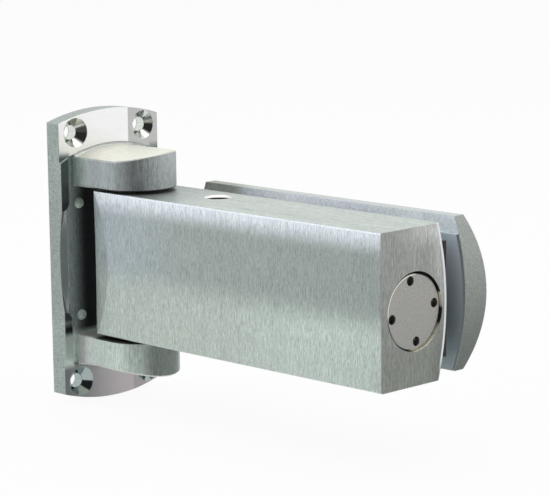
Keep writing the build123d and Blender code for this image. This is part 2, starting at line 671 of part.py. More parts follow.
def check_ball_centre():
    seat_reach = math.sqrt(CHECK_BALL_RADIUS**2 - CHECK_SEAT_RADIUS**2)
    return CHECK_SEAT_X - seat_reach - THREAD_FIT


def check_ball():
    return Pos(check_ball_centre(), 0, BORE_Z) * Sphere(CHECK_BALL_RADIUS)


def check_ball_retainer():
    x0, x1 = RETAINER_X
    ring = rod_x(CHECK_CHAMBER_RADIUS - THREAD_FIT, x0, x1, 0, BORE_Z)
    return ring - rod_x(RETAINER_HOLE_RADIUS, x0 - OVERRUN, x1 + OVERRUN, 0, BORE_Z)


# Springs

def biarc(start, start_way, end, end_way):
    # Two arcs that meet smoothly between two points with given directions.
    chord = end - start
    ways = start_way + end_way
    spread = 2 * (1 - start_way.dot(end_way))
    along = chord.dot(ways)
    reach = (math.sqrt(along**2 + spread * chord.dot(chord)) - along) / spread
    first = start + start_way * reach
    second = end - end_way * reach
    joint = (first + second) * 0.5
    joint_way = (second - first).normalized()
    return [TangentArc(start, joint, tangent=start_way), TangentArc(joint, end, tangent=joint_way)]


def coil_spring(x0, x1, mean_radius, wire, turns):
    # A round-wire helix about the bore's axis, with a short straight run at each end.
    steps_per_turn = 4
    pitch = (x1 - x0) / turns
    climb = pitch / (2 * math.pi)
    length = math.hypot(mean_radius, climb)

    def place(angle):
        y = mean_radius * math.cos(angle)
        z = BORE_Z + mean_radius * math.sin(angle)
        return Vector(x0 + climb * angle, y, z)

    def way(angle):
        return Vector(climb, -mean_radius * math.sin(angle), mean_radius * math.cos(angle)) / length

    angles = [2 * math.pi * i / steps_per_turn for i in range(turns * steps_per_turn + 1)]
    first = place(angles[0])
    last = place(angles[-1])
    run = [Line(first - way(angles[0]) * wire, first)]
    for start, end in zip(angles[:-1], angles[1:]):
        run += biarc(place(start), way(start), place(end), way(end))
    run.append(Line(last, last + way(angles[-1]) * wire))
    path = Wire(run)
    section = Plane(origin=path @ 0, z_dir=path % 0) * Circle(wire / 2)
    gap = pitch * mean_radius / length - wire
    print(f"coil of {turns} turns: least gap between turns {gap:.2f} mm")
    return sweep(section, path=path)


def closing_spring():
    margin = SPRING_WIRE / 2 + SPRING_END_GAP
    start = PISTON_BACK_X + margin
    end = PLUG_INNER_X - margin
    return coil_spring(start, end, SPRING_MEAN_RADIUS, SPRING_WIRE, SPRING_TURNS)


def check_ball_spring():
    wire = BALL_SPRING_WIRE
    start = RETAINER_X[1] + wire
    end = check_ball_centre() - CHECK_BALL_RADIUS - wire / 2
    return coil_spring(start, end, BALL_SPRING_MEAN_RADIUS, wire, BALL_SPRING_TURNS)


# Speed valve

def speed_valve_screw():
    top = VALVE_HEAD_Z
    screw = rod_z(VALVE_RADIUS, VALVE_FOOT_Z, top, VALVE_X, VALVE_Y)
    screw = chamfer(screw.faces().sort_by(Axis.Z)[-1].edges(), VALVE_EDGE_BEVEL)
    screw -= hex_z(VALVE_SOCKET_WIDTH, top - VALVE_SOCKET_DEPTH, top + OVERRUN, VALVE_X, VALVE_Y)
    groove_z0, groove_z1 = VALVE_GROOVE_Z
    core_radius = VALVE_RADIUS - VALVE_GROOVE_DEPTH
    groove = rod_z(VALVE_RADIUS + OVERRUN, groove_z0, groove_z1, VALVE_X, VALVE_Y)
    screw -= groove - rod_z(core_radius, groove_z0 - OVERRUN, groove_z1 + OVERRUN, VALVE_X, VALVE_Y)
    return screw + cone_z(*NEEDLE_RADII, NEEDLE_TIP_Z, VALVE_FOOT_Z, VALVE_X, VALVE_Y)


def speed_valve_o_ring():
    placed = Pos(VALVE_X, VALVE_Y, sum(VALVE_GROOVE_Z) / 2)
    return placed * Torus(VALVE_RADIUS - VALVE_CORD_RADIUS + THREAD_FIT, VALVE_CORD_RADIUS)


# Glass clamp

def clamp_end_x(z):
    return CLAMP_TIP_X - CLAMP_END_RADIUS + math.sqrt(CLAMP_END_RADIUS**2 - z**2)


def clamp_outline(inset, low, high):
    # Both ends of the clamp are arcs with the same radius.
    corner_sag = CLAMP_TIP_X - clamp_end_x(BODY_HALF_HEIGHT)
    left_tip = CLAMP_START_X - corner_sag
    middle = (low + high) / 2

    def right(z):
        return clamp_end_x(z) - inset

    def left(z):
        return left_tip + (CLAMP_TIP_X - clamp_end_x(z)) + inset

    edges = [
        ThreePointArc((right(low), low), (right(middle), middle), (right(high), high)),
        Line((right(high), high), (left(high), high)),
        ThreePointArc((left(high), high), (left(middle), middle), (left(low), low)),
        Line((left(low), low), (right(low), low)),
    ]
    return make_face(edges)


def slab_y(outline, y0, y1):
    return extrude(Pos(0, y0, 0) * (Plane.XZ * outline), amount=y1 - y0, dir=(0, 1, 0))


def clamp_plate():
    high = BODY_HALF_HEIGHT
    plate = slab_y(clamp_outline(0, -high, high), CLAMP_INNER_Y, CLAMP_CROWN_Y + OVERRUN)
    crown = ThreePointArc((CLAMP_EDGE_Y, -high), (CLAMP_CROWN_Y, 0), (CLAMP_EDGE_Y, high))
    back_y = CLAMP_INNER_Y - OVERRUN
    corners = [(CLAMP_EDGE_Y, high), (back_y, high), (back_y, -high), (CLAMP_EDGE_Y, -high)]
    section = make_face([crown, *[Line(a, b) for a, b in zip(corners[:-1], corners[1:])]])
    bar = extrude(Plane.YZ * section, amount=CLAMP_TIP_X + OVERRUN, dir=(1, 0, 0))
    plate &= bar
    hole_radius = CLAMP_SCREW_RADIUS + CLAMP_SCREW_CLEARANCE
    head_hole_radius = CLAMP_HEAD_RADIUS + CLAMP_HEAD_CLEARANCE
    for x in CLAMP_SCREW_X:
        for z in (-CLAMP_SCREW_Z, CLAMP_SCREW_Z):
            plate -= rod_y(hole_radius, CLAMP_INNER_Y - OVERRUN, CLAMP_CROWN_Y + OVERRUN, x, z)
            plate -= rod_y(head_hole_radius, CLAMP_HEAD_SEAT_Y, CLAMP_CROWN_Y + OVERRUN, x, z)
    return plate


def clamp_screws():
    screws = []
    head_end_y = CLAMP_HEAD_SEAT_Y + CLAMP_HEAD_HEIGHT
    shank_end_y = BODY_HALF_WIDTH - CLAMP_SCREW_REACH
    socket_foot_y = head_end_y - CLAMP_SOCKET_DEPTH
    for x in CLAMP_SCREW_X:
        for z in (-CLAMP_SCREW_Z, CLAMP_SCREW_Z):
            screw = rod_y(CLAMP_SCREW_RADIUS, shank_end_y, CLAMP_HEAD_SEAT_Y, x, z)
            screw += rod_y(CLAMP_HEAD_RADIUS, CLAMP_HEAD_SEAT_Y, head_end_y, x, z)
            screws.append(screw - hex_y(CLAMP_SOCKET_WIDTH, socket_foot_y, head_end_y + OVERRUN, x, z))
    return Compound(screws)


def screw_sleeves():
    sleeves = []
    inner_radius = CLAMP_SCREW_RADIUS + SLEEVE_INNER_CLEARANCE
    for x in CLAMP_SCREW_X:
        for z in (-CLAMP_SCREW_Z, CLAMP_SCREW_Z):
            sleeve = rod_y(SLEEVE_RADIUS, BODY_HALF_WIDTH + THREAD_FIT, CLAMP_INNER_Y - THREAD_FIT, x, z)
            hole = rod_y(inner_radius, BODY_HALF_WIDTH - OVERRUN, CLAMP_INNER_Y + OVERRUN, x, z)
            sleeves.append(sleeve - hole)
    return Compound(sleeves)


def with_sleeve_holes(gasket):
    hole_radius = SLEEVE_RADIUS + SLEEVE_OUTER_CLEARANCE
    for x in CLAMP_SCREW_X:
        for z in (-CLAMP_SCREW_Z, CLAMP_SCREW_Z):
            gasket -= rod_y(hole_radius, BODY_HALF_WIDTH - OVERRUN, CLAMP_INNER_Y + OVERRUN, x, z)
    return gasket


def housing_gasket():
    high = HOUSING_GASKET_HALF_HEIGHT
    return with_sleeve_holes(
        block(*HOUSING_GASKET_X, BODY_HALF_WIDTH, BODY_HALF_WIDTH + GASKET_THICK, -high, high)
    )


def clamp_gasket():
    outline = clamp_outline(CLAMP_GASKET_INSET, *CLAMP_GASKET_Z)
    return with_sleeve_holes(slab_y(outline, CLAMP_INNER_Y - GASKET_THICK, CLAMP_INNER_Y))


nodes = {
    "wall_plate": wall_plate(),
    "pivot_bracket": pivot_bracket(),
    "bracket_rivets": bracket_rivets(),
    "cam_spindle": cam_spindle(),
    "spindle_lock_screws": spindle_lock_screws(),
    "upper_thrust_washer": thrust_washer(1),
    "lower_thrust_washer": thrust_washer(-1),
    "upper_bearing": bearing(1),
    "lower_bearing": bearing(-1),
    "upper_shaft_seal": shaft_seal(1),
    "lower_shaft_seal": shaft_seal(-1),
    "upper_bearing_cap": bearing_cap(1),
    "lower_bearing_cap": bearing_cap(-1),
    "housing": housing(),
    "end_plug": end_plug(),
    "end_plug_o_ring": end_plug_o_ring(),
    "piston": piston(),
    "piston_seal": piston_seal(),
    "roller_pin": roller_pin(),
    "cam_roller": cam_roller(),
    "check_ball": check_ball(),
    "check_ball_spring": check_ball_spring(),
    "check_ball_retainer": check_ball_retainer(),
    "closing_spring": closing_spring(),
    "speed_valve_screw": speed_valve_screw(),
    "speed_valve_o_ring": speed_valve_o_ring(),
    "clamp_plate": clamp_plate(),
    "clamp_screws": clamp_screws(),
    "screw_sleeves": screw_sleeves(),
    "housing_gasket": housing_gasket(),
    "clamp_gasket": clamp_gasket(),
}

os.makedirs("parts", exist_ok=True)
for name, shape in nodes.items():
    export_step(shape, f"parts/{name}.step")
    print(f"{name}: solids {len(shape.solids())}, volume {shape.volume:.0f} mm3")
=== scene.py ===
import math

import bpy
import numpy as np
from mathutils import Matrix, Vector


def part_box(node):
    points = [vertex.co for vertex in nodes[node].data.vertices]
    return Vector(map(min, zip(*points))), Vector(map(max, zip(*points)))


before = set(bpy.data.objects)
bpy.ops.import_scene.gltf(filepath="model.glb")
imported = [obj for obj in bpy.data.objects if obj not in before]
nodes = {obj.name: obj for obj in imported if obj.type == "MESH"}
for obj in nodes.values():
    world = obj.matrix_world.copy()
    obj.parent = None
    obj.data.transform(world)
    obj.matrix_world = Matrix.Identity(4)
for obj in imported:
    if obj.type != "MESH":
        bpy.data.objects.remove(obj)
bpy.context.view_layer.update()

# Places and lengths on the object are in millimetres, and MM turns them into metres.
MM = 0.001


def corners(node):
    """Lowest and highest corner of a node at rest."""
    low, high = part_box(node)
    return low / MM, high / MM


plate_low, plate_high = corners("wall_plate")
bracket_low = corners("pivot_bracket")[0]
body_low, body_high = corners("housing")
plug_low, plug_high = corners("end_plug")
clamp_low, clamp_high = corners("clamp_plate")
valve_low, valve_high = corners("speed_valve_screw")
valve_centre = (valve_low + valve_high) / 2
plug_centre = (plug_low + plug_high) / 2

# Places on single pieces, which no node's box gives. The wall holes are WALL_HOLE_Z above
# and below a middle that is PLATE_RISE above the body's.
WALL_HOLE_Y = 20.3
WALL_HOLE_Z = 56.5
PLATE_RISE = 0.8
CREASE_Y = 10.7
COUNTERSINK_RADIUS = 6.6
NOTCH_REACH_Z = 27.1
EAR_INNER_Z = 33.7
TIP_RIM_Y = 18.1
TIP_RIM_CURVE = 216.4
PLUG_MOUTH_RADIUS = 16.3
PLUG_RADIUS = 15.9
VALVE_MOUTH_RADIUS = 6.0
VALVE_SHADE_RADIUS = 5.0
VALVE_SOCKET_RADIUS = 2.3


# Shader building

def colour(red, green, blue):
    """A colour written as it looks on a screen, from 0 to 255, in linear light."""
    linear = []
    for channel in (red, green, blue):
        share = channel / 255
        linear.append(share / 12.92 if share <= 0.04045 else ((share + 0.055) / 1.055) ** 2.4)
    return (*linear, 1.0)


class Signal:
    """A number or vector carried by a socket. Arithmetic on it adds Math nodes."""

    def __init__(self, maker, socket):
        self.maker = maker
        self.socket = socket

    def math(self, operation, *operands, clamp=False):
        settings = {"operation": operation, "use_clamp": clamp}
        return self.maker.add("ShaderNodeMath", settings, dict(enumerate(operands)))

    def __add__(self, other):
        return self.math("ADD", self, other)

    def __radd__(self, other):
        return self.math("ADD", other, self)

    def __sub__(self, other):
        return self.math("SUBTRACT", self, other)

    def __rsub__(self, other):
        return self.math("SUBTRACT", other, self)

    def __mul__(self, other):
        return self.math("MULTIPLY", self, other)

    def __rmul__(self, other):
        return self.math("MULTIPLY", other, self)

    def __truediv__(self, other):
        return self.math("DIVIDE", self, other)

    def __pow__(self, other):
        return self.math("POWER", self, other)

    def __abs__(self):
        return self.math("ABSOLUTE", self)

    def clamped(self):
        return self.math("ADD", self, 0.0, clamp=True)

    def over(self, start, end):
        """0 up to start and 1 from end on, smooth between. End may be the lower of the two."""
        settings = {"interpolation_type": "SMOOTHSTEP"}
        inputs = {"Value": self, "From Min": start, "From Max": end}
        return self.maker.add("ShaderNodeMapRange", settings, inputs)


class Maker:
    """Builds the nodes of one material or world."""

    def __init__(self, tree):
        self.tree = tree
        tree.nodes.clear()

    def add(self, kind, settings=None, inputs=None, output=0):
        """A node with its settings. Signals are linked, and plain values set on its sockets."""
        node = self.tree.nodes.new(kind)
        for name, value in (settings or {}).items():
            setattr(node, name, value)
        for name, value in (inputs or {}).items():
            if isinstance(value, Signal):
                self.tree.links.new(value.socket, node.inputs[name])
            else:
                node.inputs[name].default_value = value
        return Signal(self, node.outputs[output]) if node.outputs else None

    def mix(self, factor, first, second):
        """The first colour where factor is 0 and the second where it is 1."""
        inputs = {0: factor, 6: first, 7: second}
        return self.add("ShaderNodeMix", {"data_type": "RGBA"}, inputs, output=2)

    def scaled(self, base, factor):
        return self.add("ShaderNodeVectorMath", {"operation": "SCALE"}, {0: base, "Scale": factor})

    def vector(self, operation, *operands, output=0):
        inputs = dict(enumerate(operands))
        return self.add("ShaderNodeVectorMath", {"operation": operation}, inputs, output)

    def along(self, vector, direction):
        """How far a vector points along a direction."""
        return self.vector("DOT_PRODUCT", vector, direction, output="Value")

    def ray(self, kind):
        """1 for rays of one kind, such as Camera or Glossy."""
        return self.add("ShaderNodeLightPath", output=f"Is {kind} Ray")


class Finish(Maker):
    """A material whose patterns are laid out in millimetres on the object's own coordinates."""

    def __init__(self, name):
        self.material = bpy.data.materials.new(name)
        self.material.use_nodes = True
        super().__init__(self.material.node_tree)
        place = self.add("ShaderNodeTexCoord", output="Object")
        in_millimetres = {"Vector": place, "Scale": (1 / MM, 1 / MM, 1 / MM)}
        self.place = self.add("ShaderNodeMapping", {}, in_millimetres)
        self.x, self.y, self.z = self.split(self.place)
        self.true_normal = self.add("ShaderNodeNewGeometry", output="True Normal")
        self.nx, self.ny, self.nz = self.split(self.true_normal)

    def split(self, vector):
        first = self.add("ShaderNodeSeparateXYZ", inputs={"Vector": vector})
        return [Signal(self, socket) for socket in first.socket.node.outputs]

    def grain(self, size, detail=3.0, roughness=0.6, seed=0.0):
        """Noise whose lumps measure size along X, Y and Z in millimetres."""
        scale = tuple(1 / length for length in size)
        moved = {"Vector": self.place, "Scale": scale, "Location": (seed, seed, seed)}
        spread = self.add("ShaderNodeMapping", {}, moved)
        inputs = {"Vector": spread, "Scale": 1.0, "Detail": detail, "Roughness": roughness}
        return self.add("ShaderNodeTexNoise", {}, inputs)

    def from_level(self, centre):
        """Distance from a line along X through a centre."""
        return ((self.y - centre.y) ** 2.0 + (self.z - centre.z) ** 2.0) ** 0.5

    def from_upright(self, centre):
        """Distance from a line along Z through a centre."""
        return ((self.x - centre.x) ** 2.0 + (self.y - centre.y) ** 2.0) ** 0.5

    def across(self, y, z):
        """How far out a place lies in the direction y, z, in millimetres."""
        return self.y * y + self.z * z

    def edge(self, radius):
        """Rounded normal near the edges, and a mask that is 1 where it turns, for painted edge
        highlights.
        """
        inputs = {"Radius": radius * MM}
        rounded = self.add("ShaderNodeBevel", {"samples": 6}, inputs, output="Normal")
        turned = 1.0 - self.along(rounded, self.true_normal)
        return rounded, (turned * 3.0).clamped()

    def bump(self, height, distance, normal=None):
        inputs = {"Height": height, "Distance": distance * MM, "Strength": 1.0}
        if normal:
            inputs["Normal"] = normal
        return self.add("ShaderNodeBump", {}, inputs)

    def surface(self, **inputs):
        """The finished material. A socket's name is written with _ for its space."""
        named = {name.replace("_", " "): value for name, value in inputs.items()}
        shader = self.add("ShaderNodeBsdfPrincipled", {}, named)
        self.add("ShaderNodeOutputMaterial", {}, {"Surface": shader})
        return self.material


def dress(material, *names):
    for name in names:
        mesh = nodes[name].data
        mesh.materials.clear()
        mesh.materials.append(material)


def toned(finish, shade, tone, amount):
    """A colour made lighter and darker by a tone that is centred on 0."""
    dark = tuple(channel * (1 - amount) for channel in shade[:3]) + (1.0,)
    light = tuple(min(channel * (1 + amount), 1.0) for channel in shade[:3]) + (1.0,)
    return finish.mix((tone + 0.5).clamped(), dark, light)


def brushed(finish, fine, coarse, seed=0.0):
    """Long and short brush lines, and slower light and dark bands, all centred on 0."""
    longest = 2.6
    short = tuple(min(length, longest) for length in fine)
    long_lines = finish.grain(fine, roughness=0.7, seed=seed) - 0.5
    short_lines = finish.grain(short, roughness=0.8, seed=seed + 2.9) - 0.5
    bands = finish.grain(coarse, detail=2.0, seed=seed + 7.3) - 0.5
    return long_lines * 1.2 + short_lines * 1.6, bands


# Masks run from 0 to 1 over places in millimetres, or over nx, ny and nz, the parts of the
# face's direction.

# Body

def front_painted_shading(finish):
    """Painted light and shade: duller above the middle than below it, with a painted highlight
    along the top edge.
    """
    wall_x, middle_x, tip_x = 25.0, 90.0, 190.0
    to_tip = finish.x.over(middle_x, tip_x)
    lower = finish.mix(to_tip, colour(187, 198, 191), colour(206, 219, 212))
    to_wall = finish.x.over(middle_x, wall_x)
    upper = finish.mix(to_wall, colour(162, 172, 168), colour(174, 184, 189))
    shade = finish.mix(finish.z.over(-12.0, 3.0), lower, upper)
    painted_top_highlight = finish.z.over(body_high.z - 11.0, body_high.z - 0.5)
    return finish.mix(painted_top_highlight, shade, colour(232, 240, 247))


def tip_painted_shading(finish):
    """Painted light and shade: paler toward the top, with a painted highlight on the top edge. The
    far side goes from dark at the foot to pale at the top.
    """
    height = finish.z.over(body_low.z, body_high.z)
    shade = finish.mix(height, colour(136, 140, 134), colour(158, 160, 157))
    far_side = finish.y.over(body_high.y - 14.0, body_high.y - 3.0)
    far_side_painted_shade = finish.mix(height, colour(104, 110, 106), colour(196, 198, 195))
    shade = finish.mix(far_side * 0.7, shade, far_side_painted_shade)
    painted_top_highlight = finish.z.over(body_high.z - 12.0, body_high.z - 1.0)
    painted_top_highlight = painted_top_highlight * finish.y.over(-14.0, 10.0)
    return finish.mix(painted_top_highlight * 0.8, shade, colour(206, 208, 206))


def plug_mouth(finish, base):
    """Wall of the hole round the plug: painted dark shade, with a painted glint at its side and one
    low down.
    """
    reach = finish.from_level(plug_centre)
    wall = reach.over(PLUG_MOUTH_RADIUS + 0.12, PLUG_MOUTH_RADIUS + 0.04)
    wall = wall * finish.x.over(180.0, 190.0)
    low_glint = finish.across(0.5, -0.87).over(14.4, 16.0)
    side_glint = finish.across(0.985, 0.17).over(15.55, 15.8)
    shade = finish.mix(low_glint + side_glint, colour(58, 62, 59), colour(236, 234, 220))
    return finish.mix(wall, base, shade)


def valve_mouth(finish, base):
    """Countersink of the speed valve: painted bright as a highlight, with painted shade at its
    foot.
    """
    reach = finish.from_upright(valve_centre)
    slope = reach.over(VALVE_MOUTH_RADIUS + 0.2, VALVE_MOUTH_RADIUS)
    slope = slope * finish.z.over(25.0, 29.0) * abs(finish.nz).over(0.95, 0.8)
    foot = reach.over(VALVE_SHADE_RADIUS + 0.3, VALVE_SHADE_RADIUS)
    return finish.mix(slope, base, finish.mix(foot, colour(250, 248, 240), colour(20, 20, 18)))


def body_metal():
    """Satin metal, brushed upright on the sides and lengthwise on top. Its front, tip and top are
    painted as lit and shaded copies of one metal.
    """
    finish = Finish("satin_body")
    lines, bands = brushed(finish, (0.4, 0.4, 8.0), (3.0, 3.0, 60.0))
    flat_lines, flat_bands = brushed(finish, (14.0, 0.4, 0.4), (80.0, 4.0, 4.0), seed=3.1)
    facing_up = abs(finish.nz).over(0.6, 0.8)
    facing_out = finish.nx.over(0.6, 0.8)
    tone = lines * (1.0 - facing_up) + flat_lines * facing_up
    slow = bands * (1.0 - facing_up) + flat_bands * facing_up
    base = finish.mix(facing_out, front_painted_shading(finish), tip_painted_shading(finish))
    # Painted shade: the top is darker near the wall.
    from_wall = finish.x.over(body_low.x + 20.0, body_low.x + 75.0)
    top_painted_shade = finish.mix(from_wall, colour(161, 169, 166), colour(188, 197, 192))
    base = finish.mix(facing_up, base, top_painted_shade)
    # Painted shade on the shallow hollow at the front's wall-side edge.
    hollow = finish.nx.over(-0.02, -0.035) * finish.ny.over(-0.9, -0.99)
    base = finish.mix(hollow * 0.5, base, colour(150, 161, 155))
    # Painted shade on the end that faces the wall.
    wall_end = finish.nx.over(-0.8, -0.95)
    base = finish.mix(wall_end, base, colour(88, 94, 94))
    base = finish.scaled(base, 1.0 + tone + slow * 0.2)
    # Painted highlights along the rounded edges and on the narrow strips that face out and toward
    # the far side.
    rounded, edge_highlight = finish.edge(0.45)
    bevel = finish.nx.over(0.3, 0.5) * finish.ny.over(0.5, 0.6)
    base = finish.mix((edge_highlight * 0.8 + bevel).clamped(), base, colour(238, 242, 241))
    # The tip's far rim is a bulged line, along which this sum stays the same. A painted highlight
    # runs along it.
    bulge = finish.y + finish.z ** 2.0 / TIP_RIM_CURVE
    tip_rim_highlight = bulge.over(TIP_RIM_Y - 0.6, TIP_RIM_Y) * facing_out
    tip_rim_highlight = tip_rim_highlight * finish.z.over(-31.0, -22.0)
    base = finish.mix(tip_rim_highlight * 0.9, base, colour(240, 243, 243))
    base = plug_mouth(finish, base)
    base = valve_mouth(finish, base)
    return finish.surface(
        Base_Color=base,
        Metallic=0.85,
        Roughness=0.42 + tone * 0.08,
        Normal=finish.bump(tone, 0.012, rounded),
    )


# Bracket

def ear_side_painted_shading(finish):
    """Painted light and shade on the sides of the ears. The normal's X is 0 on their flat sides and
    1 at the nose.
    """
    nose = finish.nx.over(0.25, 0.5)
    upper = finish.mix(nose, colour(174, 182, 183), colour(196, 201, 201))
    # Painted dark reflection where the sides turn toward the nose.
    turn = abs(finish.nx - 0.5).over(0.45, 0.1)
    upper = finish.mix(turn * 0.55, upper, colour(112, 120, 118))
    lower = finish.mix(nose, colour(198, 211, 203), colour(194, 207, 199))
    # Painted shade at the lower ear's nose.
    lower = finish.mix(finish.nx.over(0.72, 0.95), lower, colour(124, 132, 126))
    is_upper = finish.z.over(-5.0, 5.0)
    shade = finish.mix(is_upper, lower, upper)
    # Painted light near the root, by the plate.
    root = finish.x.over(bracket_low.x + 20.0, bracket_low.x + 7.0)
    root = root * finish.ny.over(-0.5, -0.9)
    root_painted_light = finish.mix(is_upper, colour(255, 255, 255), colour(218, 234, 226))
    return finish.mix(root * 0.9, shade, root_painted_light)


def web_painted_shade(finish):
    """Painted shade: the web grows dark behind the body. Painted light: it is pale at its foot."""
    behind_body = finish.y.over(bracket_low.y + 1.0, bracket_low.y + 11.0)
    shade = finish.mix(behind_body, colour(186, 200, 200), colour(44, 50, 52))
    return finish.mix(finish.z.over(-31.0, -34.0), shade, colour(226, 238, 231))


def bracket_metal():
    """Satin metal, brushed upright on the sides and speckled on the flat tops. The tops are painted
    as the lit copy and the sides carry painted shading.
    """
    finish = Finish("satin_bracket")
    lines, bands = brushed(finish, (0.45, 0.45, 7.0), (2.5, 2.5, 40.0), seed=1.7)
    speckle = finish.grain((0.4, 0.4, 0.4), detail=4.0, roughness=0.8) - 0.5
    facing_up = abs(finish.nz).over(0.5, 0.8)
    base = finish.mix(facing_up, ear_side_painted_shading(finish), colour(232, 232, 221))
    # Painted shadow on the ears' inner faces, just above and below the body.
    gap_shadow = abs(finish.z).over(EAR_INNER_Z + 0.7, EAR_INNER_Z + 0.4)
    gap_shadow = gap_shadow * finish.x.over(bracket_low.x + 13.0, bracket_low.x + 20.0)
    base = finish.mix(gap_shadow, base, colour(22, 25, 24))
    web = finish.x.over(bracket_low.x + 5.2, bracket_low.x + 4.5)
    base = finish.mix(web, base, web_painted_shade(finish))
    tone = lines * (1.0 - facing_up) + speckle * facing_up * 0.3
    base = finish.scaled(base, 1.0 + tone + bands * 0.25)
    # Painted highlight along the edges, kept off the web and the shadowed inner faces.
    rounded, edge_highlight = finish.edge(0.5)
    bright_edge = edge_highlight * 0.7 * (1.0 - web) * (1.0 - gap_shadow)
    base = finish.mix(bright_edge, base, colour(240, 242, 238))
    return finish.surface(
        Base_Color=base,
        Metallic=0.8 - web * 0.35 - gap_shadow * 0.8,
        Roughness=0.5 + lines * 0.08,
        Normal=finish.bump(tone, 0.01, rounded),
    )


# Wall plate

def room_face_painted_light(finish, upper):
    """Painted reflections: bright above. Below, painted shade, dark near the front edge and paler
    past the middle. The far flank past the crease is painted shaded too.
    """
    from_front = finish.y.over(-31.0, 9.0)
    lower_face_painted_shade = finish.mix(from_front, colour(104, 109, 111), colour(178, 173, 175))
    face = finish.mix(upper, lower_face_painted_shade, colour(255, 255, 255))
    far_flank = finish.y.over(CREASE_Y - 0.15, CREASE_Y + 0.15)
    flank_painted_shade = finish.mix(upper, colour(152, 150, 152), colour(168, 169, 166))
    return finish.mix(far_flank * 0.75, face, flank_painted_shade)


def ear_strip(finish, face):
    """Strips of the plate beside the ears, painted with reflected light and shade: dull above,
    paler below with a dark band.
    """
    ear_low, ear_high, strip_y, band_z = 28.0, 46.0, 24.5, -31.0
    height = abs(finish.z)
    beside_ear = height.over(ear_high + 4.0, ear_high) * height.over(ear_low - 2.0, ear_low)
    beside_ear = beside_ear * abs(finish.y).over(strip_y - 1.5, strip_y)
    strip = finish.mix(finish.z.over(-5.0, 5.0), colour(184, 199, 191), colour(122, 134, 128))
    painted_dark_band = abs(finish.z - band_z).over(3.8, 0.4)
    strip = finish.mix(painted_dark_band, strip, colour(44, 54, 52))
    return finish.mix(beside_ear, face, strip)


def countersinks(finish):
    """1 on the slopes of the four countersinks, and 0 on the plate's face and back."""
    inside = 0.0
    for y in (-WALL_HOLE_Y, WALL_HOLE_Y):
        for z in (PLATE_RISE - WALL_HOLE_Z, PLATE_RISE + WALL_HOLE_Z):
            reach = finish.from_level(Vector((0.0, y, z)))
            inside = inside + reach.over(COUNTERSINK_RADIUS + 0.25, COUNTERSINK_RADIUS + 0.05)
    off_face = 1.0 - finish.nx.over(0.985, 0.995)
    off_back = finish.x.over(0.2, 0.6)
    return (inside * off_face * off_back).clamped()


def plate_metal():
    """Satin metal, brushed across the face and speckled on the edges."""
    finish = Finish("satin_plate")
    lines, bands = brushed(finish, (0.3, 7.0, 0.35), (3.0, 60.0, 5.0), seed=4.9)
    speckle = finish.grain((0.5, 0.5, 0.5), detail=4.0, roughness=0.8) - 0.5
    facing_room = finish.nx.over(0.7, 0.9)
    upper = finish.z.over(30.0, 47.0)
    notch = finish.x.over(plate_high.x - 1.05, plate_high.x - 1.3)
    notch = notch * abs(finish.z).over(NOTCH_REACH_Z, NOTCH_REACH_Z - 1.0)
    face = finish.mix(notch, room_face_painted_light(finish, upper), colour(184, 196, 196))
    face = ear_strip(finish, face)
    base = finish.mix(facing_room, colour(158, 168, 164), face)
    tone = lines * 0.12 * facing_room + speckle * 3.0 * (1.0 - facing_room)
    base = finish.scaled(base, 1.0 + tone + bands * 0.1)
    # Painted highlight along the edges, kept off the notch.
    rounded, edge_highlight = finish.edge(0.4)
    base = finish.mix(edge_highlight * 0.6 * (1.0 - notch), base, colour(240, 242, 242))
    polished = countersinks(finish)
    # Painted reflection: the upper countersinks are bright, the lower ones dull.
    polished_painted_light = finish.mix(upper, colour(160, 172, 171), colour(214, 218, 212))
    base = finish.mix(polished, base, polished_painted_light)
    return finish.surface(
        Base_Color=base,
        Metallic=(0.85 - notch * 0.4 + (polished + upper) * 0.15).clamped(),
        Roughness=0.36 + tone * 0.1 * (1.0 - polished) - polished * 0.26,
        Normal=finish.bump(tone * (1.0 - polished), 0.01, rounded),
    )


# Clamp plate

def clamp_metal():
    """Speckled satin metal, painted with light and shade. The inner face has painted shade near the
    wall and painted light at the far end.
    """
    finish = Finish("satin_clamp")
    speckle = finish.grain((0.45, 0.45, 0.8), detail=4.0, roughness=0.75) - 0.5
    lines, bands = brushed(finish, (9.0, 0.5, 0.5), (60.0, 4.0, 4.0), seed=2.2)
    height = finish.z.over(clamp_low.z, clamp_high.z)
    near_wall = finish.x.over(clamp_low.x + 36.0, clamp_low.x + 22.0)
    far_end = finish.x.over(130.0, 180.0)
    facing_end = abs(finish.nx).over(0.5, 0.8)
    # Painted shade: the ends are darker toward the bottom.
    end_painted_shade = finish.mix(height, colour(108, 114, 110), colour(174, 178, 174))
    base = finish.mix(facing_end, colour(172, 181, 180), end_painted_shade)
    facing_up = abs(finish.nz).over(0.75, 0.95)
    # Painted shade: the top is darker near the wall, under the ears.
    top_painted_shade = finish.mix(near_wall, colour(196, 202, 200), colour(166, 170, 160))
    base = finish.mix(facing_up, base, top_painted_shade)
    inner = finish.ny.over(-0.7, -0.9)
    # Painted light on the inner face, and painted shade near the wall.
    inner_painted_light = finish.mix(far_end, colour(240, 244, 250), colour(244, 252, 255))
    inner_painted_light = finish.mix(near_wall, inner_painted_light, colour(176, 178, 166))
    base = finish.mix(inner, base, inner_painted_light)
    base = finish.scaled(base, 1.0 + speckle * 1.7 + lines * 0.1 + bands * 0.15)
    # Painted highlight along the edges.
    rounded, edge_highlight = finish.edge(0.4)
    base = finish.mix(edge_highlight * 0.5, base, colour(236, 240, 240))
    return finish.surface(
        Base_Color=base,
        Metallic=0.85 - inner * (0.45 + far_end * 0.4),
        Roughness=0.46 + speckle * 0.1,
        Normal=finish.bump(speckle + lines * 0.4, 0.012, rounded),
    )


# End plug

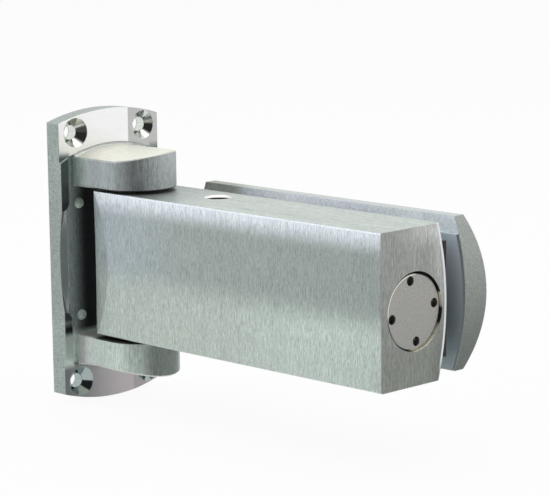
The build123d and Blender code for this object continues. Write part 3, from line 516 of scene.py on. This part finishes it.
def plug_metal():
    """Turned metal. Its rim has a painted highlight low down and painted shadow above, with a
    painted glint inside the shadow.
    """
    finish = Finish("plug_steel")
    reach = finish.from_level(plug_centre)
    turning_marks = reach * 9.0
    dust = finish.grain((0.6, 0.6, 0.6), detail=4.0) - 0.5
    base = toned(finish, colour(166, 165, 161), dust * 1.4, 0.4)
    to_foot = finish.z.over(plug_high.z, plug_low.z)
    base = finish.mix(to_foot * 0.4, base, colour(148, 148, 145))
    # Painted shade on the floors of the spanner holes.
    hole_foot = finish.x.over(plug_high.x - 0.9, plug_high.x - 1.6)
    base = finish.mix(hole_foot, base, colour(120, 120, 115))
    # Painted highlight on the outer rim, on the low side.
    low_side = (finish.y - finish.z).over(0.0, 14.0)
    outer_rim_highlight = reach.over(PLUG_RADIUS - 0.6, PLUG_RADIUS - 0.4)
    base = finish.mix(outer_rim_highlight * low_side, base, colour(240, 238, 228))
    # Painted shadow on the rim, on the high side.
    high_side = (finish.z - finish.y).over(-6.0, 8.0)
    rim = reach.over(PLUG_RADIUS - 1.1, PLUG_RADIUS - 0.8)
    base = finish.mix(rim * high_side, base, colour(44, 46, 43))
    # Painted glint inside the shadowed rim.
    glint = reach.over(PLUG_RADIUS - 1.3, PLUG_RADIUS - 1.1)
    glint = glint * reach.over(PLUG_RADIUS - 0.6, PLUG_RADIUS - 0.8)
    glint = glint * (finish.z - finish.y).over(10.0, 14.0)
    base = finish.mix(glint, base, colour(236, 233, 218))
    # Painted highlight along the edges on the lit low side.
    rounded, edge_highlight = finish.edge(0.3)
    base = finish.mix(edge_highlight * 0.5 * low_side, base, colour(240, 238, 226))
    return finish.surface(
        Base_Color=base,
        Metallic=0.85,
        Roughness=0.38 + dust * 0.12,
        Normal=finish.bump(turning_marks.math("SINE", turning_marks), 0.0015, rounded),
    )


# Small pieces

def polished_metal():
    """Polished steel. The hexagon socket of the speed valve's screw is painted dark, as shade in
    the hollow.
    """
    finish = Finish("polished_steel")
    mottle = finish.grain((1.6, 1.6, 1.6), detail=4.0) - 0.5
    base = toned(finish, colour(214, 213, 208), mottle, 0.08)
    # Painted highlight along the edges.
    rounded, edge_highlight = finish.edge(0.2)
    base = finish.mix(edge_highlight * 0.5, base, colour(225, 226, 226))
    # Painted shade inside the hexagon socket.
    socket = finish.from_upright(valve_centre).over(VALVE_SOCKET_RADIUS + 0.15, VALVE_SOCKET_RADIUS)
    socket = socket * finish.z.over(25.0, 26.0)
    base = finish.mix(socket, base, colour(26, 26, 24))
    return finish.surface(
        Base_Color=base,
        Metallic=0.95 - socket * 0.9,
        Roughness=0.12 + mottle * 0.1 + socket * 0.4,
        Normal=rounded,
    )


def plain_metal(name, shade, rough, metallic=0.95):
    """Ground or turned metal with slight mottling."""
    finish = Finish(name)
    mottle = finish.grain((1.6, 1.6, 1.6), detail=4.0) - 0.5
    scratches = finish.grain((0.2, 0.2, 3.0)) - 0.5
    base = toned(finish, shade, mottle, 0.12)
    # Painted highlight along the edges.
    rounded, edge_highlight = finish.edge(0.2)
    base = finish.mix(edge_highlight * 0.5, base, colour(225, 226, 226))
    return finish.surface(
        Base_Color=base,
        Metallic=metallic,
        Roughness=rough + mottle * 0.12,
        Normal=finish.bump(scratches, 0.004, rounded),
    )


def moulded(name, shade, rough, texture=0.01):
    """Rubber or plastic with a fine moulded skin."""
    finish = Finish(name)
    skin = finish.grain((0.4, 0.4, 0.4), detail=4.0, roughness=0.7) - 0.5
    dust = finish.grain((6.0, 6.0, 6.0)) - 0.5
    return finish.surface(
        Base_Color=toned(finish, shade, dust, 0.2),
        Metallic=0.0,
        Roughness=rough + skin * 0.15,
        Normal=finish.bump(skin, texture),
    )


def gasket_grey():
    """Blue-grey lining, with painted light making it paler toward its upper edge and painted shade
    making its outer end dark.
    """
    finish = Finish("gasket_grey")
    skin = finish.grain((0.4, 0.4, 0.4), detail=4.0, roughness=0.7) - 0.5
    height = finish.z.over(-15.0, 25.0)
    base = finish.mix(height, colour(166, 180, 186), colour(214, 226, 236))
    base = finish.mix(finish.nx.over(0.4, 0.7), base, colour(92, 100, 104))
    return finish.surface(
        Base_Color=finish.scaled(base, 1.0 + skin * 0.3),
        Metallic=0.0,
        Roughness=0.5 + skin * 0.15,
        Normal=finish.bump(skin, 0.02),
    )


dress(body_metal(), "housing")
dress(bracket_metal(), "pivot_bracket")
dress(plate_metal(), "wall_plate")
dress(clamp_metal(), "clamp_plate")
dress(plug_metal(), "end_plug")
dress(plain_metal("rivet_steel", colour(206, 222, 212), 0.6, metallic=0.3), "bracket_rivets")
dress(
    plain_metal("hardened_steel", colour(150, 150, 154), 0.25),
    "cam_spindle",
    "roller_pin",
    "cam_roller",
)
dress(polished_metal(), "check_ball", "speed_valve_screw")
dress(plain_metal("piston_steel", colour(138, 139, 143), 0.3), "piston")
dress(
    plain_metal("screw_steel", colour(120, 121, 124), 0.35),
    "spindle_lock_screws",
    "upper_bearing_cap",
    "lower_bearing_cap",
    "check_ball_retainer",
    "clamp_screws",
)
dress(
    plain_metal("spring_steel", colour(78, 80, 84), 0.3),
    "closing_spring",
    "check_ball_spring",
)
dress(
    plain_metal("bearing_bronze", colour(176, 138, 84), 0.4),
    "upper_bearing",
    "lower_bearing",
)
dress(
    moulded("washer_plastic", colour(222, 219, 210), 0.5),
    "upper_thrust_washer",
    "lower_thrust_washer",
    "screw_sleeves",
)
dress(
    moulded("seal_rubber", colour(26, 26, 27), 0.45),
    "upper_shaft_seal",
    "lower_shaft_seal",
    "end_plug_o_ring",
    "piston_seal",
    "speed_valve_o_ring",
)
dress(moulded("gasket_black", colour(22, 24, 25), 0.6, texture=0.02), "housing_gasket")
dress(gasket_grey(), "clamp_gasket")


# Stage, in metres

WHITE = (1.0, 1.0, 1.0, 1.0)
ROOM_GREY = (0.66, 0.67, 0.68, 1.0)
DARK_CLOTH = (0.03, 0.03, 0.03, 1.0)


def floor_disc(radius, z, rings=24, spokes=96):
    """A flat disc: x = r cos a, y = r sin a, with r and a on an even grid."""
    r = np.linspace(0.0, radius, rings)[1:, None]
    a = np.linspace(0.0, 2 * np.pi, spokes, endpoint=False)[None, :]
    points = np.stack([r * np.cos(a), r * np.sin(a), np.full((rings - 1, spokes), z)], axis=-1)
    points = np.concatenate([[[0.0, 0.0, z]], points.reshape(-1, 3)])
    ring_starts = 1 + spokes * np.arange(rings - 2)[:, None]
    spoke = np.arange(spokes)
    next_spoke = (spoke + 1) % spokes
    here = ring_starts + spoke[None, :]
    beside = ring_starts + next_spoke[None, :]
    quads = np.stack([here, here + spokes, beside + spokes, beside], axis=-1).reshape(-1, 4)
    centre = np.stack([np.zeros(spokes, int), 1 + spoke, 1 + next_spoke], axis=-1)
    mesh = bpy.data.meshes.new("floor")
    mesh.from_pydata(points.tolist(), [], centre.tolist() + quads.tolist())
    floor = bpy.data.objects.new("floor", mesh)
    bpy.context.scene.collection.objects.link(floor)
    return floor


def floor_paint():
    """Matt and pale, and near white to the rays that see the background.

    Glossy rays see the part toward the camera dark, as if a dark cloth lay there.
    """
    finish = Finish("floor_paint")
    speckle = finish.grain((40.0, 40.0, 40.0)) - 0.5
    base = toned(finish, colour(247, 247, 247), speckle, 0.01)
    matt = finish.add("ShaderNodeBsdfDiffuse", {}, {"Color": base})
    toward_camera = (0.71, -0.70, 0.0)
    way = finish.vector("NORMALIZE", finish.place)
    dark_part = finish.along(way, toward_camera).over(0.84, 0.95)
    tint = finish.mix(dark_part * finish.ray("Glossy"), WHITE, DARK_CLOTH)
    glow = finish.add("ShaderNodeEmission", {}, {"Color": tint, "Strength": 1.0})
    seen = finish.ray("Camera") + finish.ray("Glossy") + finish.ray("Transmission")
    glow_share = seen.clamped() * 0.93
    mixed = finish.add("ShaderNodeMixShader", {}, {0: glow_share, 1: matt, 2: glow})
    finish.add("ShaderNodeOutputMaterial", {}, {"Surface": mixed})
    return finish.material


def studio_world():
    """White to the camera, grey to other rays, and dark round the camera's own place.

    Glossy and transmission rays see it white behind the object.
    """
    world = bpy.data.worlds.new("studio")
    bpy.context.scene.world = world
    world.use_nodes = True
    maker = Maker(world.node_tree)
    past_object = (-0.55, 0.83, 0.1)
    toward_camera = (0.72, -0.62, 0.31)
    away = maker.add("ShaderNodeTexCoord", output="Generated")
    behind = maker.along(away, past_object).over(-0.45, 0.1)
    dark_side = maker.along(away, toward_camera).over(0.70, 0.88)
    room = maker.mix(dark_side, ROOM_GREY, DARK_CLOTH)
    mirrored = maker.ray("Glossy") + maker.ray("Transmission")
    white = (maker.ray("Camera") + mirrored * behind).clamped()
    shade = maker.mix(white, room, WHITE)
    background = maker.add("ShaderNodeBackground", {}, {"Color": shade, "Strength": 1.0})
    maker.add("ShaderNodeOutputWorld", {}, {"Surface": background})


def soft_box(name, centre, side, watts, aim):
    """A square lamp that faces a point."""
    lamp = bpy.data.lights.new(name, "AREA")
    lamp.shape = "RECTANGLE"
    lamp.size = side
    lamp.size_y = side
    lamp.energy = watts
    holder = bpy.data.objects.new(name, lamp)
    holder.location = centre
    holder.rotation_mode = "QUATERNION"
    holder.rotation_quaternion = (Vector(aim) - Vector(centre)).to_track_quat("-Z", "Y")
    bpy.context.scene.collection.objects.link(holder)


def camera(place, yaw, pitch, roll, lens):
    """The photograph's own view. Angles are in degrees, and lens is for a 36 mm wide frame."""
    yaw, pitch, roll = math.radians(yaw), math.radians(pitch), math.radians(roll)
    level = math.cos(pitch)
    forward = Vector((-math.sin(yaw) * level, math.cos(yaw) * level, -math.sin(pitch)))
    right = forward.cross(Vector((0, 0, 1))).normalized()
    up = right.cross(forward)
    turned_right = right * math.cos(roll) + up * math.sin(roll)
    turned_up = up * math.cos(roll) - right * math.sin(roll)
    data = bpy.data.cameras.new("camera")
    data.sensor_width = 36.0
    data.sensor_fit = "HORIZONTAL"
    data.lens = lens
    data.clip_start = 0.05
    data.clip_end = 20.0
    holder = bpy.data.objects.new("camera", data)
    turn = Matrix((turned_right, turned_up, -forward)).transposed()
    holder.matrix_world = Matrix.Translation(place) @ turn.to_4x4()
    bpy.context.scene.collection.objects.link(holder)
    bpy.context.scene.camera = holder


FLOOR_RADIUS = 4.0
FLOOR_GAP = 0.0002
body_middle = (0.09, 0.0, 0.0)

floor = floor_disc(FLOOR_RADIUS, plate_low.z * MM - FLOOR_GAP)
floor.data.materials.append(floor_paint())
studio_world()
soft_box("overhead", centre=(0.0, 0.1, 1.2), side=1.2, watts=6.0, aim=body_middle)
soft_box("left_front", centre=(-0.7, -1.1, 0.5), side=0.8, watts=2.0, aim=body_middle)
camera(place=(0.838, -0.7119, 0.19085), yaw=45.5, pitch=9.83, roll=-0.698, lens=160.0)
bpy.context.scene.view_settings.view_transform = "Standard"
